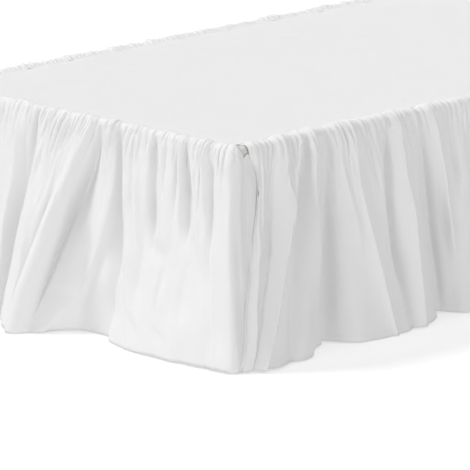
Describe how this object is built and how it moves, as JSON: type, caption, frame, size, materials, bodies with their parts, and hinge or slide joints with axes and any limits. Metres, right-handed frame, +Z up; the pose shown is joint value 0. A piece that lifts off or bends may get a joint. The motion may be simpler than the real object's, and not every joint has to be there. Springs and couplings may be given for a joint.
{
  "type": "bed skirt on a bed base",
  "caption": "Gathered white cotton bed skirt: a flat deck on a plain single bed base, with ruffled panels that roll over its edges, fall to the floor and flare at the hem.",
  "frame": {"origin": "on the floor, under the middle of the whole thing's bounding box", "axes": "+X to the right long side, +Y from the foot end to the head end, +Z up"},
  "size_m": [1.136, 2.1864, 0.443],
  "materials": {
    "skirt_cotton": "plain white woven cotton, matte",
    "base_cover": "plain light grey upholstery, matte",
    "leg_wood": "satin lacquered beech"
  },
  "bodies": {
    "root": {"deck_panel": "skirt_cotton", "foot_panel": "skirt_cotton", "right_side_panel": "skirt_cotton", "left_side_panel": "skirt_cotton", "bed_base": "base_cover", "leg_foot_left": "leg_wood", "leg_foot_right": "leg_wood", "leg_head_left": "leg_wood", "leg_head_right": "leg_wood"}
  },
  "joints": []
}
